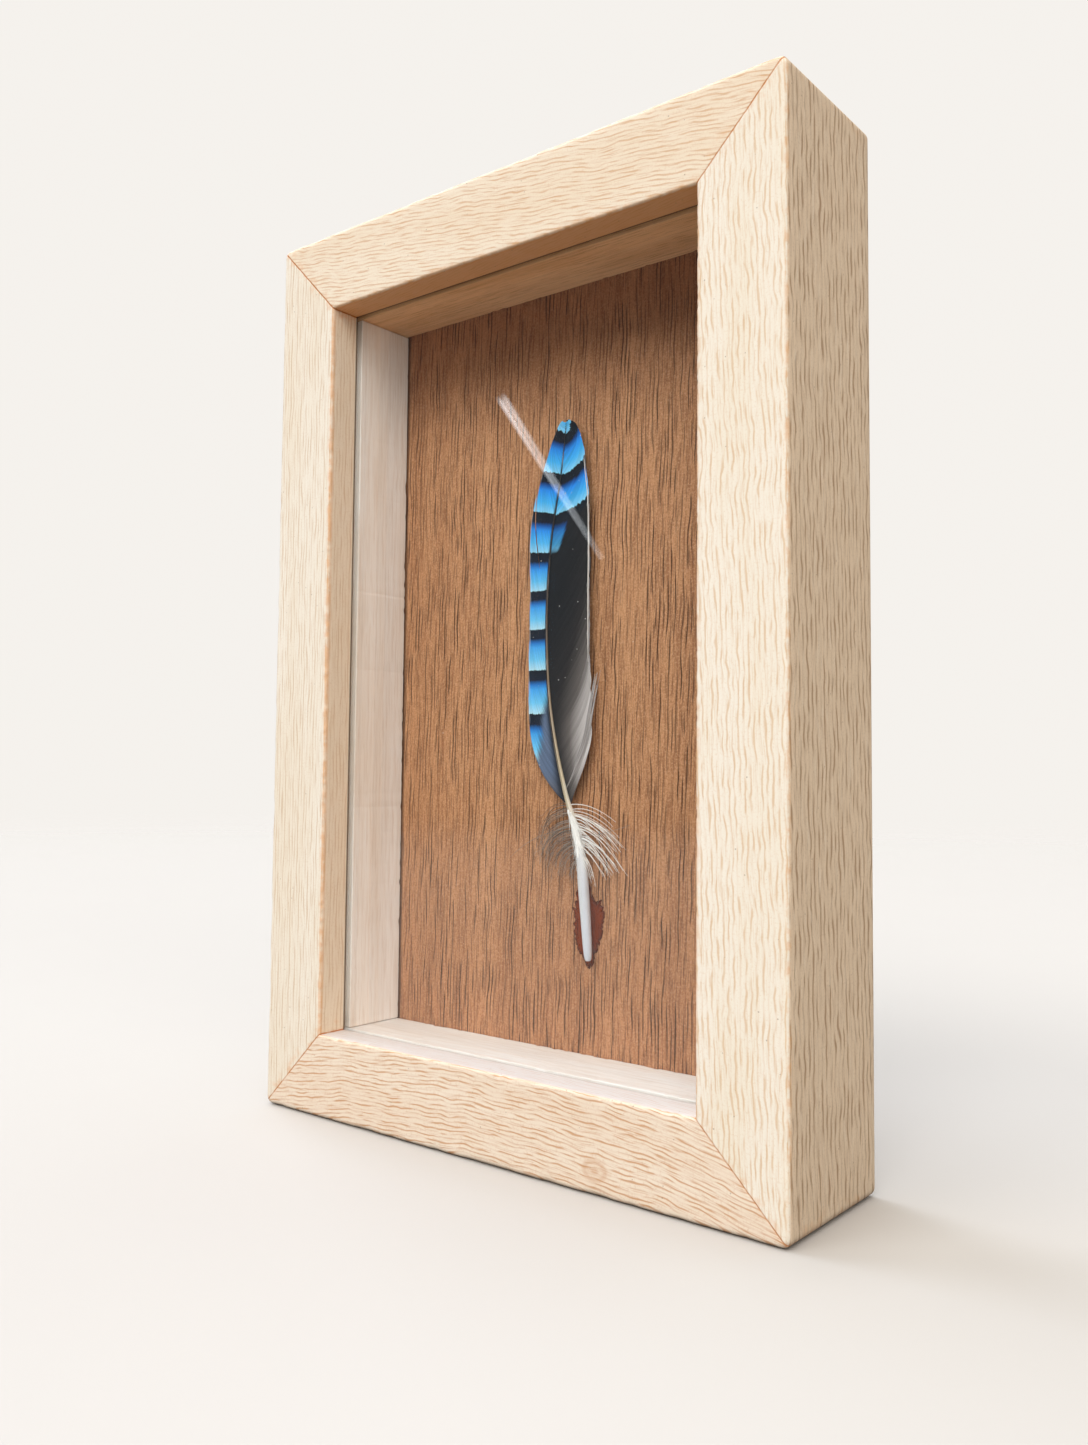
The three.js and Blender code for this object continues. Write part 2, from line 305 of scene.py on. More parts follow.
# flecks: pointed spindles along the grain, one in each long cell of the surface: the distance across, in
# half widths, plus the square of the distance along, in half lengths, stays below the size of the fleck
def makeFlecks():
    group, given, made = newGroup("grainFlecks", ["Length", "Width", "Pitch", "Share"], "Mask")
    fill, stagger = 0.4, 0.382  # half length of a fleck and the step between neighbours, in cells
    across, along = acrossAlong(given)
    along = calc("ADD", times(along, 2 * fill), times(across, stagger))
    cell = put("CombineXYZ", {0: across, 1: along}).outputs[0]
    inputs = {"Vector": cell, "Scale": 1, "Randomness": 0.75}
    cells = put("TexVoronoi", inputs, voronoi_dimensions="2D").outputs
    away = parts(vectors("SUBTRACT", cell, cells["Position"]))
    slim = calc("DIVIDE", times(given["Pitch"], 2), given["Width"])
    aside = times(calc("ABSOLUTE", away[0]), slim)
    ahead = calc("DIVIDE", away[1], fill)
    far = calc("ADD", aside, times(ahead, ahead))
    pick = put("SeparateColor", {0: cells["Color"]}).outputs
    size = remap(pick[1], 0, 1, 0.7, 1.1)
    spindle = remap(far, times(size, 0.45), size, 1, 0)
    kept = calc("LESS_THAN", pick[0], given["Share"])
    clear = remap(pick[2], 0, 1, 0.5, 1)
    tree.links.new(times(spindle, kept, clear), made["Mask"])
    return group


# streaks: a sine wave across the grain, whose phase wanders by a noise, so that its lines waver, merge and
# part; a second noise weakens them here and there along their length
def makeStreaks():
    group, given, made = newGroup("grainStreaks", ["Length", "Pitch", "Wander"], "Mask")
    across, along = acrossAlong(given)
    cell = put("CombineXYZ", {0: across, 1: along}).outputs[0]
    wander = noise(cell, (0.4, 1, 0), 1)
    turns = calc("ADD", across, times(wander, given["Wander"]))
    wave = calc("SINE", times(turns, 2 * pi))
    weak = remap(noise(cell, (1, 0.8, 0), 1), 0.4, 0.6, 0.15, 1)
    tree.links.new(times(remap(wave, -0.1, 1), weak), made["Mask"])
    return group


# specks: the middles of scattered cells, of which only a share is kept
def makeSpecks():
    group, given, made = newGroup("dustSpecks", ["Spacing", "Size", "Share"], "Mask")
    scale = calc("DIVIDE", 1, given["Spacing"])
    cells = put("TexVoronoi", {"Vector": given["Vector"], "Scale": scale}).outputs
    middle = calc("LESS_THAN", cells["Distance"], given["Size"])
    pick = put("SeparateColor", {0: cells["Color"]}).outputs[0]
    tree.links.new(times(middle, calc("LESS_THAN", pick, given["Share"])), made["Mask"])
    return group


grainLines, flecks, streaks, specks = makeGrainLines(), makeFlecks(), makeStreaks(), makeSpecks()
print("shader groups ready")

# mouldings
rail = {
    "lip": 4.0, "wall": 5.4, "frontRound": 0.5, "backRound": 0.7, "cornerRound": 0.9, "sightRound": 0.25,
    "gap": 0.015, "step": 0.25, "wander": 1.2,
}
railBase = {
    "reach": 0.6, "slant": 0.0, "arch": 0.0, "strength": 0.35, "plain": 0.9, "slotShadow": 0.85, "ragged": 0.05,
    # outer and back faces browner: partly the wood's own tone and partly painted shade
    "outer": (238, 212, 181),
}
railLooks = {
    "frame_top": {
        **railBase, "light": (245, 229, 206), "dark": (242, 223, 197), "fleck": (208, 148, 88),
        "dash": (2.3, 0.16, 0.31, 0.97), "line": (2.4, 0.46, 0.55), "slant": -0.16, "edgeAndMitreTint": 0.7,
        "reveal": (228, 170, 116), "revealShare": 0.9, "plain": 0.7, "shift": (3, 11, 40),
        # painted shade: the top moulding's outer faces are darker to offset the strong light from above
        "outer": (200, 176, 146),
    },
    "frame_left": {
        **railBase, "light": (247, 237, 221), "dark": (243, 230, 210), "fleck": (198, 154, 100),
        "dash": (3.2, 0.16, 0.4, 0.9), "line": (4.0, 0.5, 0.45), "reach": 0.35, "edgeAndMitreTint": 0.8, "ragged": 0.1,
        "reveal": (238, 218, 190), "revealShare": 0.7, "shift": (9, 27, 7),
    },
    "frame_right": {
        **railBase, "light": (248, 238, 222), "dark": (245, 233, 213), "fleck": (212, 162, 98),
        "dash": (2.5, 0.16, 0.31, 0.97), "line": (2.2, 0.55, 0.5), "strength": 0.25, "slant": 0.03,
        "edgeAndMitreTint": 0.6, "reveal": (240, 220, 190), "revealShare": 0.5, "shift": (31, 3, 17),
    },
    "frame_bottom": {
        **railBase, "light": (246, 229, 208), "dark": (243, 223, 200), "fleck": (204, 144, 90),
        "dash": (2.9, 0.17, 0.32, 0.98), "line": (2.4, 0.45, 0.75), "reach": 0.9, "arch": 0.0028,
        "edgeAndMitreTint": 0.12, "reveal": (232, 229, 227), "revealShare": 0.95, "plain": 0.3, "slotShadow": 0.2,
        "shift": (57, 40, 3), "ragged": 0.12, "knot": (14.4, 2.36, 1.7),
    },
}
# grain of the outer faces; their darker fleck colour goes with the outer faces' painted shade
outerLook = {
    "fleck": (150, 108, 70), "dash": (2.6, 0.2, 0.33, 0.97), "strength": 0.3, "line": (2.8, 0.85, 0.65),
}


# section of a moulding, as (inwards, back): up the outer face, over the rounded front edge, along the
# front, round the sight edge, down the reveal and through the rebate to the rounded back edge
def railSection():
    f, b, s = rail["frontRound"], rail["backRound"], rail["sightRound"]
    quarter = np.linspace(0, np.pi / 2, 7)
    runs = [
        (np.zeros(12), np.linspace(deep - b, f, 12)),
        (f - f * np.cos(quarter), f - f * np.sin(quarter)),
        (np.linspace(f, faceWidth - s, 22), np.zeros(22)),
        (faceWidth - s + s * np.sin(quarter), s - s * np.cos(quarter)),
        (np.full(9, faceWidth), np.linspace(s, rail["lip"], 9)),
        (np.linspace(faceWidth, rail["wall"], 6), np.full(6, rail["lip"])),
        (np.full(10, rail["wall"]), np.linspace(rail["lip"], deep, 10)),
        (np.linspace(rail["wall"], b, 6), np.full(6, deep)),
        (b - b * np.sin(quarter), deep - b + b * np.cos(quarter)),
    ]
    points = np.concatenate([np.stack(run, -1) for run in runs])
    fresh = np.linalg.norm(points - np.roll(points, 1, 0), axis=1) > 1e-6
    return points[fresh].T


# mitred moulding: the section swept along x and stopped at the mitres; where both distances from the two
# outer faces are below the corner radius, the point slides on to the arc of that radius
def railSurface(length, ragged, seed):
    inward, back = railSection()
    rows = int(length / rail["step"])
    x = np.linspace(-1, 1, rows)[:, None] * (length / 2 - inward - rail["gap"])
    u, v = np.broadcast_to(inward, x.shape).copy(), np.broadcast_to(back, x.shape).copy()
    mitre = (length / 2 - np.abs(x) - u) / np.sqrt(2)
    sight = np.hypot(faceWidth - u, v)
    torn = np.exp(-(sight / 0.3) ** 2) * easeStep(0, 1.5, mitre)
    tear = np.clip(waver(x, 0.45, seed) + 0.6 * waver(x, 2.7, seed + 1) + 0.1, 0, 1)
    worn = np.exp(-(np.hypot(u, v) / 0.5) ** 2) * np.clip(waver(x, 1.7, seed + 2), 0, 1)
    r = rail["cornerRound"]
    fromEnd = length / 2 - np.abs(x)
    rounded = (fromEnd < r) & (u < r)
    share = np.clip((r - fromEnd) / np.maximum(r - u, 1e-6), 0, 1)
    angle = share * np.pi / 4
    x = np.where(rounded, np.sign(x) * (length / 2 - r + (r - u) * np.sin(angle)), x)
    u = np.where(rounded, r - (r - u) * np.cos(angle), u)
    u = u - ragged * torn * tear + 0.06 * worn
    v = v + 0.6 * ragged * torn * tear + 0.06 * worn
    return x, v, u, mitre, faceWidth - inward


# knot: rings round a point of the front, fainter towards its radius
def knotMask(look):
    x, z, radius = look
    place = stretched(millimetres(), 0.75, 0, 1)
    middle = (0.75 * x, 0, z)
    far = put("VectorMath", {0: place, 1: middle}, operation="DISTANCE").outputs["Value"]
    far = calc("ADD", far, times(noise(place, 1, 0), 0.2))
    rings = remap(calc("SINE", times(far, 7.5)), -0.9, 0.9, 0.16, 0.4)
    return times(rings, remap(far, 0.5 * radius, radius, 1, 0))


# rail wood: slow clouds with streaks, short dashes and grit along the grain; the outer and back faces are
# browner, partly the wood's own tone and partly painted shade; the reveal has its own tone and a painted
# shadow in the slot at the glass; mitres are stained and the edges are tinted orange
def railFinish(name, look, upright):
    material = newMaterial(name)
    place = millimetres(upright, look["shift"])
    level = millimetres(upright)
    mitre, sight = attribute("mitre"), attribute("sight")
    back = calc("SUBTRACT", parts(millimetres())[1], outerLow[1])
    outer = remap(sight, faceWidth - 0.12, faceWidth - 0.02)
    outer = calc("MAXIMUM", outer, remap(back, deep - 0.7, deep - 0.4))
    reveal = times(remap(sight, 0.02, 0.08, 1, 0), remap(back, 0.1, 0.4))
    arched = grouped(grainLines, level, 0, look["slant"], look["arch"])
    wavy = grouped(grainLines, vectors("ADD", arched, look["shift"]), look["reach"])
    slow = remap(noise(place, (0.25, 0.25, 0.03), 3), 0.35, 0.65)
    fine = noise(wavy, (4, 4, 0.3), 2, 0.6)
    fleck = blend(outer, look["fleck"], outerLook["fleck"])
    plain = remap(reveal, 0, 1, 1, look["plain"])
    lines, dashes = [], []
    for face in (look, outerLook):
        length, pitch, share = face["line"]
        lines.append(times(grouped(streaks, wavy, length, pitch, rail["wander"]), share))
        dashes.append(times(grouped(flecks, wavy, *face["dash"]), face["strength"]))
    patch = remap(noise(place, (0.12, 0.12, 0.07)), 0.35, 0.6, 0.8, 1)
    dashes = times(blendValue(outer, *dashes), patch, plain)
    knot = [(knotMask(look["knot"]), fleck)] if "knot" in look else []
    grit = remap(noise(place, 4.5, 2, 0.6), 0.5, 0.75, 0, 0.22)
    blot = noise(place, 0.9, 3)
    glueLine = times(remap(mitre, 0.03, 0.13, 1, 0), remap(blot, 0.3, 0.6, 0.5, 1))
    halo = times(remap(mitre, 0, 1.6, 1, 0), remap(blot, 0.45, 0.75))
    # orange tint along the sight and outer front edges and on the sight edge's bevel
    rims = [remap(sight, 0, 0.7, 1, 0), remap(sight, faceWidth - 0.4, faceWidth - 0.1)]
    nearFront = remap(back, 0.2, 0.7, 1, 0)
    edge = times(calc("MAXIMUM", *rims), nearFront, remap(blot, 0.42, 0.7))
    arris = times(remap(sight, 0.12, 0.34, 1, 0), nearFront, remap(blot, 0.3, 0.6, 0.3, 0.9))
    edgeAndMitreTint = calc("MAXIMUM", times(halo, 0.6), times(calc("MAXIMUM", edge, arris), 0.8))
    # painted shadow in the slot between the lip and the glass
    slotShadow = times(reveal, remap(back, rail["lip"] - 0.3, rail["lip"] - 0.15))
    colour = layered(blend(slow, look["light"], look["dark"]), [
        # browner outer and back faces, partly painted shade
        (outer, look["outer"]),
        (times(reveal, look["revealShare"]), look["reveal"]),
        (times(blendValue(outer, *lines), plain), fleck),
        (dashes, fleck),
        (times(outer, remap(fine, 0.3, 0.44, 0.3, 0)), (255, 240, 218)),
        *knot,
        (times(grit, plain), fleck),
        (times(edgeAndMitreTint, look["edgeAndMitreTint"]), (226, 156, 80)),
        (times(glueLine, look["edgeAndMitreTint"] + 0.3), (204, 126, 56)),
        (times(slotShadow, look["slotShadow"]), (66, 40, 24)),
        (times(grouped(specks, place, 1.1, 0.07, 0.35), 0.5), (150, 120, 92)),
    ])
    grain = calc("SUBTRACT", times(fine, 0.6), dashes)
    rough = remap(noise(place, 0.6, 3), 0.3, 0.7, 0.52, 0.7)
    normal = bump(calc("SUBTRACT", grain, times(glueLine, 1.5)), 0.02, 0.8)
    surface(colour, rough, normal, 0.35)
    return material


def buildRails():
    half, middle = wide / 2, tall / 2
    places = {
        "frame_bottom": (wide, lambda x, u: (x, u), 11),
        "frame_right": (tall, lambda x, u: (half - u, middle + x), 23),
        "frame_top": (wide, lambda x, u: (-x, tall - u), 37),
        "frame_left": (tall, lambda x, u: (u - half, middle - x), 41),
    }
    for node, (length, turned, seed) in places.items():
        look = railLooks[node]
        x, v, u, mitre, sight = railSurface(length, look["ragged"], seed)
        worldX, worldZ = turned(x, u)
        points = np.stack([worldX, outerLow[1] + v, worldZ], -1)
        material = railFinish(node + "_wood", look, node in ("frame_left", "frame_right"))
        values = {"mitre": mitre, "sight": sight}
        addPiece(node + "_moulding", points, node, material, sharpAngle=32, values=values)


buildRails()
print("mouldings built")

# layers in the rebate
strip = {"round": 0.12, "step": 0.3, "chip": 0.12}
board = {"round": 0.15, "step": 0.8, "chip": 0.0}
sheet = {"round": 0.1, "step": 6.0, "chip": 0.0}


# bar with eased edges: a rounded rectangle swept along its long axis and drawn in at both ends by a quarter
# circle; chips push points of the long edges inwards by a waver
def easedBar(low, high, axis, form, seed=0):
    r = form["round"]
    others = [k for k in range(3) if k != axis]
    size = high - low
    quarter = np.linspace(0, np.pi / 2, 5)
    ends = r * (1 - np.cos(quarter))
    rows = max(2, int(size[axis] / form["step"]))
    along = np.concatenate([r * (1 - np.sin(quarter[::-1])), np.linspace(r, size[axis] - r, rows)[1:-1],
                            size[axis] - r * (1 - np.sin(quarter))])
    inset = np.concatenate([ends[::-1], np.zeros(rows - 2), ends])
    corner = np.array([(1, 1), (-1, 1), (-1, -1), (1, -1)])
    turn = np.concatenate([quarter + k * np.pi / 2 for k in range(4)])
    middle = np.repeat(corner, 5, 0) * (size[others] / 2 - r)
    a = middle[:, 0] + (r - inset[:, None]) * np.cos(turn)
    b = middle[:, 1] + (r - inset[:, None]) * np.sin(turn)
    t = along[:, None] + 0 * a
    chip = form["chip"] * np.clip(waver(t + 40 * np.repeat(np.arange(4), 5), 0.8, seed) - 0.35, 0, 1)
    a, b = a - np.sign(a) * chip, b - np.sign(b) * chip
    points = np.empty((*a.shape, 3))
    points[..., axis] = low[axis] + t
    points[..., others[0]] = (low + high)[others[0]] / 2 + a
    points[..., others[1]] = (low + high)[others[1]] / 2 + b
    return points


def barPiece(node, axis, form, material, seed=0):
    points = easedBar(*boxOf(node), axis, form, seed)
    addPiece(node + "_layer", points, node, material, sharpAngle=8)


stripLooks = {
    "strip_wood_upright": {
        "upright": True, "light": (252, 246, 240), "dark": (244, 232, 220), "line": (216, 192, 170),
        "fleck": 0.3,
    },
    "strip_wood_low": {
        "upright": False, "light": (251, 251, 250), "dark": (246, 241, 236), "line": (222, 206, 190),
        "fleck": 0.35,
    },
    # the top strip's wood is a darker, warmer copy of the strip wood: painted shade under the top lip
    "strip_wood_top_painted_shade": {
        "upright": False, "light": (250, 206, 160), "dark": (236, 187, 138), "line": (176, 124, 80),
        "fleck": 0.7,
    },
}


# strip wood: slow clouds with fine lines and thin dashes along the strip
def spacerFinish(name):
    look = stripLooks[name]
    material = newMaterial(name)
    place = millimetres(look["upright"], (13, 5, 21))
    slow = remap(noise(place, (0.3, 0.3, 0.04), 3), 0.3, 0.7)
    wavy = grouped(grainLines, place, 0.4)
    fine = noise(wavy, (3.5, 3.5, 0.12), 3, 0.6)
    short = grouped(flecks, wavy, 2.6, 0.16, 0.5, 0.5)
    colour = layered(blend(slow, look["light"], look["dark"]), [
        (remap(fine, 0.42, 0.7, 0, 0.35), look["line"]),
        (times(short, look["fleck"]), look["line"]),
    ])
    rough = remap(noise(place, 0.7, 2), 0.3, 0.7, 0.5, 0.68)
    normal = bump(calc("SUBTRACT", fine, short), 0.012, 0.7)
    surface(colour, rough, normal, 0.35)
    return material


veneer = {
    "light": (212, 157, 113), "dark": (194, 140, 99), "line": (140, 89, 56), "pore": (50, 23, 11),
    "long": (6.0, 0.5, 0.9), "short": (3.2, 0.15, 0.32, 0.8), "slant": -0.03,
}


# veneer: a slow banding across, fine lines and grit, streaks and short pores cut into it, a few specks of
# dust, a painted shadow along the left strip, and painted shade darkening the top and bottom ends
def panelFinish():
    material = newMaterial("panel_veneer_wood")
    place = millimetres()
    wavy = grouped(grainLines, place, 0.5, veneer["slant"])
    slow = remap(noise(wavy, (0.22, 0.22, 0.012), 3, 0.55), 0.36, 0.64)
    fine = noise(wavy, (4.4, 4.4, 0.2), 3, 0.6)
    grit = noise(place, 4.6, 2, 0.6)
    shifted = vectors("ADD", wavy, (50, 9, 80))
    cracks = remap(grouped(streaks, shifted, *veneer["long"]), 0.4, 0.95, 0, 0.9)
    short = times(grouped(flecks, shifted, *veneer["short"]), 0.6)
    rows = remap(noise(wavy, (0.7, 0.7, 0.03)), 0.35, 0.6, 0.6, 1)
    pores = times(calc("MAXIMUM", cracks, short), rows)
    dust = grouped(specks, stretched(place, 1, 0, 1), 2.4, 0.035, 0.4)
    x, _, z = parts(place)
    stripEdge = boxOf("spacer_left")[1][0]
    colour = layered(blend(slow, veneer["light"], veneer["dark"]), [
        (remap(fine, 0.47, 0.62, 0, 0.55), veneer["line"]),
        (remap(grit, 0.5, 0.7, 0, 0.4), (232, 184, 144)),
        (remap(grit, 0.32, 0.48, 0.35, 0), veneer["line"]),
        (times(pores, 0.95), veneer["pore"]),
        (times(dust, 0.6), (226, 205, 186)),
        # painted shadow in the gap along the left strip
        (remap(x, stripEdge + 0.1, stripEdge + 0.5, 0.75, 0), (52, 28, 18)),
    ])
    # painted shade: darker towards the top, where the lip's shadow falls, and towards the bottom
    paintedEndShade = calc("ADD", remap(z, 8, 46, 0.26, 0), remap(z, 78, 94, 0, 0.35))
    colour = blend(paintedEndShade, colour, (0.3, 0.08, 0, 1), "MULTIPLY")
    rough = remap(noise(place, 0.5, 3), 0.3, 0.7, 0.48, 0.66)
    normal = bump(calc("SUBTRACT", times(fine, 0.4), pores), 0.05, 0.9)
    surface(colour, rough, normal, 0.3)
    return material


# clear glass; shadow rays and diffuse rays pass it, so that lamps and room light what lies behind
def glassFinish():
    material = newMaterial("pane_glass")
    glass = {"Base Color": (0.985, 0.995, 0.99, 1), "Roughness": 0, "IOR": 1.5, "Transmission Weight": 1}
    mixed = put("BsdfPrincipled", glass).outputs[0]
    clear = put("BsdfTransparent", {"Color": (0.98, 0.99, 0.985, 1)}).outputs[0]
    path = put("LightPath").outputs
    for ray in ("Is Diffuse Ray", "Is Shadow Ray"):
        mixed = put("MixShader", {0: path[ray], 1: mixed, 2: clear}).outputs[0]
    put("OutputMaterial", {"Surface": mixed})
    return material


def buildLayers():
    upright = spacerFinish("strip_wood_upright")
    barPiece("spacer_left", 2, strip, upright, 3)
    barPiece("spacer_right", 2, strip, upright, 4)
    barPiece("spacer_top", 0, strip, spacerFinish("strip_wood_top_painted_shade"), 5)
    barPiece("spacer_bottom", 0, strip, spacerFinish("strip_wood_low"), 6)
    barPiece("backing_panel", 2, board, panelFinish())
    barPiece("glass_pane", 2, sheet, glassFinish())


buildLayers()
print("glass, strips and panel built")

# feather
shaft = {
    "line": [(19.8, 4.6), (26.4, 4.0), (32.6, 3.2), (38.0, 1.3), (46.2, -0.8), (55.9, -1.65), (67.1, -1.0),
             (74.3, 0.3), (79.6, 0.95)],
    "radii": [(0, 0.4), (0.02, 0.48), (0.08, 0.57), (0.16, 0.59), (0.22, 0.44), (0.3, 0.28), (0.45, 0.21),
              (0.65, 0.14), (0.85, 0.08), (1, 0.03)],
    "stations": 120, "sides": 18,
}
shaftX = curveThrough(*zip(*shaft["line"]))
vane = {
    "count": 150, "stations": 36, "ridge": 0.05, "sink": 0.08, "tip": 80.45,
    "barTops": [83.9, 79.3, 74.7, 70.2, 65.55, 61.1, 56.65, 51.95, 46.95, 41.6],
    "slateEdge": [(39.5, 1.2), (41, 0.85), (43, 0.58), (44.5, 0.5), (46.5, 0.45), (48, 0.2), (52, -0.15)],
}
outerVane = {
    "side": -1, "roots": (36.7, 80.0), "run": (13.5, 24.0), "power": (2.1, 1.35), "seed": 5, "width": 0.32,
    "edge": [(36, -4.1), (44, -4.1), (52, -4.2), (60.8, -4.1), (67.1, -4.2), (69.3, -4.0), (71.4, -3.55),
             (73.1, -3.0), (74.8, -2.4), (76, -1.95), (77.8, -1.25), (79.0, -0.65), (79.9, -0.15),
             (80.4, 0.3)],
    "splits": [(57.6, 0.5, 1.2), (48.0, 0.06, 1.5)],
}
innerVane = {
    "side": 1, "roots": (36.7, 80.0), "run": (9.8, 13.0), "power": (2.2, 1.4), "seed": 6, "width": 0.5,
    "edge": [(36, 4.6), (44, 4.6), (50, 4.5), (53.6, 4.35), (60, 4.3), (66.9, 4.3), (71.8, 4.1),
             (74.3, 3.75), (76.3, 3.5), (78.1, 3.0), (79.2, 2.55), (80.0, 1.9), (80.4, 1.1)],
    "splits": [(44.3, 0.14, 2.0), (41.0, 0.1, 1.5)],
}
lock = {
    "line": [(38.0, 1.0), (41.0, 3.0), (43.6, 4.3), (47.6, 5.2), (51.6, 6.0)], "count": 14, "spread": 0.75,
    "roots": (38.1, 39.4), "tips": (47.6, 51.6), "width": 0.11, "seed": 9,
}


# a value between two ends
def between(ends, share):
    return ends[0] + (ends[1] - ends[0]) * share


# across a path, in the feather's plane
def sideways(along):
    return np.stack([along[..., 2], 0 * along[..., 0], -along[..., 0]], -1)


# a tapered tube along each path: rings of the given radius, set square to the path in the feather's plane
def tubes(paths, radii, sides):
    side = sideways(np.gradient(paths, axis=-2))
    side /= np.maximum(np.linalg.norm(side, axis=-1, keepdims=True), 1e-9)
    front = np.array([0.0, -1.0, 0.0])
    angle = 2 * np.pi * np.arange(sides) / sides
    ring = np.cos(angle)[:, None] * side[..., None, :] + np.sin(angle)[:, None] * front
    return paths[..., None, :] + radii[..., None, None] * ring, np.cos(angle)


# ribbons: each path widened to both sides in the feather's plane, with a ridge in front and behind
def ribbons(paths, half, q):
    side = sideways(np.gradient(paths, axis=1))
    side /= np.linalg.norm(side, axis=-1, keepdims=True)
    offset = side * half[:, None]
    ridge = np.array([0, -vane["ridge"] / 2, 0]) * (1 - 0.4 * q)[:, None]
    return np.stack([paths - offset, paths + ridge, paths + offset, paths - ridge], -2)


# barbs of one vane: each leaves the shaft at its root and nears the free edge by a power curve, so that at
# any height the barbs share out the width; splits draw the barbs above them inwards, more towards their
# tips. Each barb is a flat ribbon, as wide as its neighbours need to close the vane
def barbs(look):
    random = np.random.default_rng(look["seed"])
    n, m = vane["count"], vane["stations"]
    edgeX = curveThrough(*zip(*look["edge"]))
    rise = np.linspace(0, 1, n)
    root = between(look["roots"], rise)
    run = between(look["run"], easeStep(0, 0.5, rise))
    power = between(look["power"], easeStep(0, 0.5, rise))
    room = vane["tip"] - root
    run = room * (1 - np.exp(-run / room)) * (1 + 0.015 * random.standard_normal(n))
    run = np.minimum(run, room * 0.995)
    q = np.linspace(0, 1, m) ** 0.9
    z = root[:, None] + run[:, None] * q
    share = 1 - (1 - q) ** power[:, None]
    x = shaftX(z) + (edgeX(z) - shaftX(z)) * share * (1 + 0.008 * random.standard_normal((n, 1)))
    for splitRoot, gap, spread in look["splits"]:
        above = np.clip((root - splitRoot) / spread, 0, None)
        draw = np.where(root > splitRoot, gap * np.exp(-above), 0)
        x = x - look["side"] * draw[:, None] * easeStep(0.15, 0.6, q)
    lift = 0.10 * np.sin(np.pi * share) + 0.015 * random.standard_normal((n, 1)) * q
    y = featherPlane + vane["sink"] - lift + 0 * z
    half = look["width"] / 2 * (1 - 0.35 * q) * (1 - easeStep(0.9, 1.0, q) * 0.8)
    points = ribbons(np.stack([x, y, z], -1), half, q)
    return points, x, z, share, random.uniform(-1, 1, (n, 1)), root[:, None]


# bar phase: whole numbers at the tops of the black bars; bars sag towards the shaft near the tip
def barPhase(z, across, side, jitter):
    nearTip = easeStep(60, 72, z)
    if side < 0:
        sag = nearTip * (0.75 * across - 0.4) + (1 - nearTip) * 0.25 * (across - 0.5) ** 2
    else:
        sag = -0.5 + 0.2 * across + 1.6 * across**2
    tops = np.array(vane["barTops"])
    return np.interp(-(z - sag + 0.07 * jitter), -tops, np.arange(len(tops)) - 1.0) + 1.0


# barbs as one piece, with a value of each label at every station of every barb
def barbPiece(name, points, values, material):
    values = {k: np.broadcast_to(v, points.shape[:2])[..., None] for k, v in values.items()}
    addPiece(name, points, "feather", material, sharpAngle=40, values=values)


# a vane and what colours it: the outer one is barred but for a slate foot; the inner one is barred near the
# tip and beside the shaft, and pales downwards and outwards; both have a pale rim, which on the inner vane
# is a painted highlight
def vanePiece(name, look, material):
    points, x, z, across, jitter, root = barbs(look)
    side = look["side"]
    phase = barPhase(z, across, side, jitter)
    besideTip = (phase < 1) & ((x < -0.2) | (x > 1.5))
    phase = np.where(besideTip, 1.03, phase)  # the pale tip has black on both sides
    if side < 0:
        slateEdge = np.interp(z, *zip(*vane["slateEdge"]))
        slate = easeStep(slateEdge + 0.15, slateEdge - 0.15, across + 0.04 * jitter)
        barred = (1 - slate) * easeStep(0.03, 0.12, across)
        slate = slate * easeStep(0.06, 0.3, across) * (1 - 0.6 * easeStep(41, 38, z))
        shade = 0.1 + 0.4 * easeStep(45, 38.5, z) * easeStep(0.0, 0.4, across)
        rim = 0.6 * easeStep(0.93, 0.99, across) * easeStep(43, 39, z) + 0.3 * easeStep(0.95, 1.0, across)
    else:
        patchEdge = 0.22 + 0.16 * (z - 65.65) / 2.7
        reach = easeStep(patchEdge + 0.03, patchEdge - 0.03, across) * easeStep(65.3, 65.7, z)
        barred = np.maximum(easeStep(69.2, 69.8, z - 1.6 * across**2 + 0.5), 0.6 * reach)
        slate = 0.0
        low = easeStep(68, 42, z)
        shade = 0.05 + 0.21 * low**2 + (0.16 + 0.48 * low) * across ** (3.4 - 2.0 * low)
        shade = shade + 0.08 * easeStep(44.4, 44.2, root) * easeStep(0.1, 0.6, across)
        # painted highlight along the inner vane's free edge, where the barb tips catch the light
        rim = 0.4 * easeStep(0.955, 0.99, across) * easeStep(50, 56, z) * easeStep(78, 74, z)
    shade = np.clip(shade, 0, 1)
    values = dict(barPhase=phase, barred=barred, slate=slate, shade=shade, barbTone=jitter, rim=rim)
    barbPiece(name, points, values, material)


# loose lock: barbs that share one line, spread to the shaft's side of it, and end at different heights
def lockPiece(name, material):
    random = np.random.default_rng(lock["seed"])
    lineX = curveThrough(*zip(*lock["line"]))
    n = lock["count"]
    out = np.linspace(0, 1, n)[:, None]
    q = np.linspace(0, 1, vane["stations"])
    root = between(lock["roots"], 1 - out)
    tip = between(lock["tips"], random.uniform(0, 1, (n, 1)) ** 0.7)
    tip[-2:] = lock["tips"][1]
    z = root + (tip - root) * q
    x = lineX(z) - lock["spread"] * (1 - out) * easeStep(0.0, 0.3, q)
    x = np.maximum(x + 0.05 * random.standard_normal((n, 1)) * q, shaftX(z))
    y = featherPlane - 0.12 * np.sin(np.pi * q) + 0.05 * random.standard_normal((n, 1)) * q + 0 * z
    half = lock["width"] / 2 * (1 - 0.75 * q**2)
    shade = 0.72 + 0.14 * q + 0.1 * random.standard_normal((n, 1))
    tone = random.uniform(-1, 1, (n, 1))
    values = dict(barPhase=0.1, barred=0.0, slate=0.0, shade=shade, barbTone=tone, rim=0.0)
    barbPiece(name, ribbons(np.stack([x, y, z], -1), half, q), values, material)


